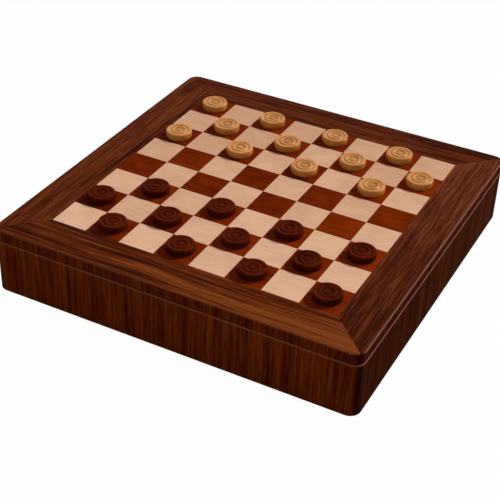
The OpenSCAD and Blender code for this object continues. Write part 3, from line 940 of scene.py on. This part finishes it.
def makePin(place):  # a low dome in the middle of the groove
    radius = domino["pin"]
    shape = [(0.5, -0.03), (0.85, -0.1), (1, -0.3), (1, -0.6)]  # in radii
    outline = [(0.0001, 0)] + [(radius * x, radius * z) for x, z in shape]
    pin = turnOnLathe("pin", [(x, z - domino["pinSink"]) for x, z in outline], 20)
    pin.data.transform(Matrix.Translation(place))
    return pin


def makeDominoes():
    parts = looseParts("dominoes")
    boxes = [boxOf(part) for part in parts]
    for part in parts:
        discard(part)
    size = boxes[0][1] - boxes[0][0]
    upper = max(high.z for low, high in boxes)
    blank = block("domino", -size / 2, size / 2)
    bevelEdges(blank, lambda edge: True, domino["easing"], 3)
    dressIn(blank, "ivory", "pip")
    half, top = domino["groove"] / 2, size.z / 2
    cutAway(blank, (-size.x / 2 - over, -half, top - half), (size.x / 2 + over, half, top + over))
    pairs = [(more, less) for more in range(domino["most"] + 1) for less in range(more + 1)]
    chance.shuffle(pairs)
    ball, laid, pins = makePipBall(domino["pip"]), [], []
    step, rise = domino["step"], top + domino["pip"] - domino["pipDepth"]
    for (low, high), pair in zip(boxes, pairs):
        tile, centre = copyOf(blank, "domino"), (low + high) / 2
        if high.z > upper - over:  # only the top tiles show their pips
            places = []
            for count, middle in zip(pair, (-size.y / 4, size.y / 4)):
                places += [(x * step, middle + y * step, rise) for x, y in pipSpots(count)]
            if places:
                sinkPips(tile, ball, places)
            pins.append(makePin(centre + Vector((0, 0, top))))
        tile.data.transform(Matrix.Translation(centre))
        laid.append(tile)
    tiles = merged(laid, "domino_tiles")
    smooth(tiles)
    standFor(tiles, "ivory", "tray", "dominoes")
    pins = merged(pins, "domino_pins")
    smooth(pins, 40, weighted=False)
    dressIn(pins, "brass")
    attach(pins, "tray")
    discard(blank)
    discard(ball)


def makeDice():
    parts = looseParts("dice")
    low, high = boxOf(parts[0])
    width = high.z - low.z
    half = width / 2
    cube = block("die", (-half, -half, -half), (half, half, half))
    bevelEdges(cube, lambda edge: True, die["easing"], 3)
    dressIn(cube, "ivory", "pip")
    bpy.ops.object.select_all(action="DESELECT")
    bpy.ops.mesh.primitive_uv_sphere_add(segments=64, ring_count=32, radius=width * die["ball"])
    rounding = bpy.context.object
    modify(cube, "BOOLEAN", object=rounding, operation="INTERSECT", solver="EXACT")
    discard(rounding)
    ball, rise = makePipBall(die["pip"]), half + die["pip"] - die["pipDepth"]
    step, places = die["step"], []
    for count, (aboutX, aboutY) in enumerate(die["turns"], 1):
        lie = Matrix.Rotation(math.radians(aboutX), 3, "X")
        lie @= Matrix.Rotation(math.radians(aboutY), 3, "Y")
        places += [lie @ Vector((x * step, y * step, rise)) for x, y in pipSpots(count)]
    sinkPips(cube, ball, places)
    thrown = []
    for part in parts:
        low, high = boxOf(part)
        upright = [face for face in part.data.polygons if abs(face.normal.z) < 0.1]
        flank = max(upright, key=lambda face: face.area)
        spin = Matrix.Rotation(math.atan2(flank.normal.y, flank.normal.x), 4, "Z")
        roll = Matrix.Rotation(math.radians(90 * chance.randrange(4)), 4, chance.choice("XY"))
        thrown.append(copyOf(cube, "die"))
        thrown[-1].data.transform(Matrix.Translation((low + high) / 2) @ spin @ roll)
        discard(part)
    thrown = merged(thrown, "dice_thrown")
    smooth(thrown)
    standFor(thrown, "ivory", "tray", "dice")
    discard(cube)
    discard(ball)


def markBack(obj, centre):  # place on the card and 1 on upward faces, nothing on the rest
    back = obj.data.attributes.new("back", "FLOAT_VECTOR", "CORNER")
    for face in obj.data.polygons:
        for corner in face.loop_indices:
            place = obj.data.vertices[obj.data.loops[corner].vertex_index].co - centre
            back.data[corner].vector = (place.x, place.y, 1) if face.normal.z > 0.9 else (0, 0, 0)
    return obj


def makePacks():
    slip, layers = pack["slip"], []
    for part in looseParts("card_packs"):
        low, high = boxOf(part)
        centre, rise = (low + high) / 2, (high.z - low.z) / pack["layers"]
        reach = Vector((pack["width"] / 2 - slip, pack["length"] / 2 - slip))
        for n in range(pack["layers"]):
            layer = block(
                "cards", (centre.x - reach.x, centre.y - reach.y, low.z + rise * n),
                (centre.x + reach.x, centre.y + reach.y, low.z + rise * (n + 1)))
            bevelEdges(layer, isUpright, pack["corner"], 6)
            askew = (chance.uniform(-slip, slip), chance.uniform(-slip, slip), 0)
            layer.data.transform(Matrix.Translation(askew))
            layers.append(markBack(layer, centre))
        discard(part)
    cards = merged(layers, "card_stacks")
    smooth(cards)
    dressIn(cards, "cards")
    standFor(cards, "card", "tray", "card_packs")


makeDominoes()
makeDice()
makePacks()
print("games laid in the tray")


# nodes whose own shape is right get their finish

for node in ("case_bottom", "lid_core"):
    dressIn(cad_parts[node], "ply")
for node in ("underside_baize", "floor_baize", "tray_baize", "lid_baize"):
    dressIn(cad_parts[node], "baize")
dressIn(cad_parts["tray_floor"], "cedarX")
dressIn(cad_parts["tray_bearers"], "cedarY")
print("nodes dressed")
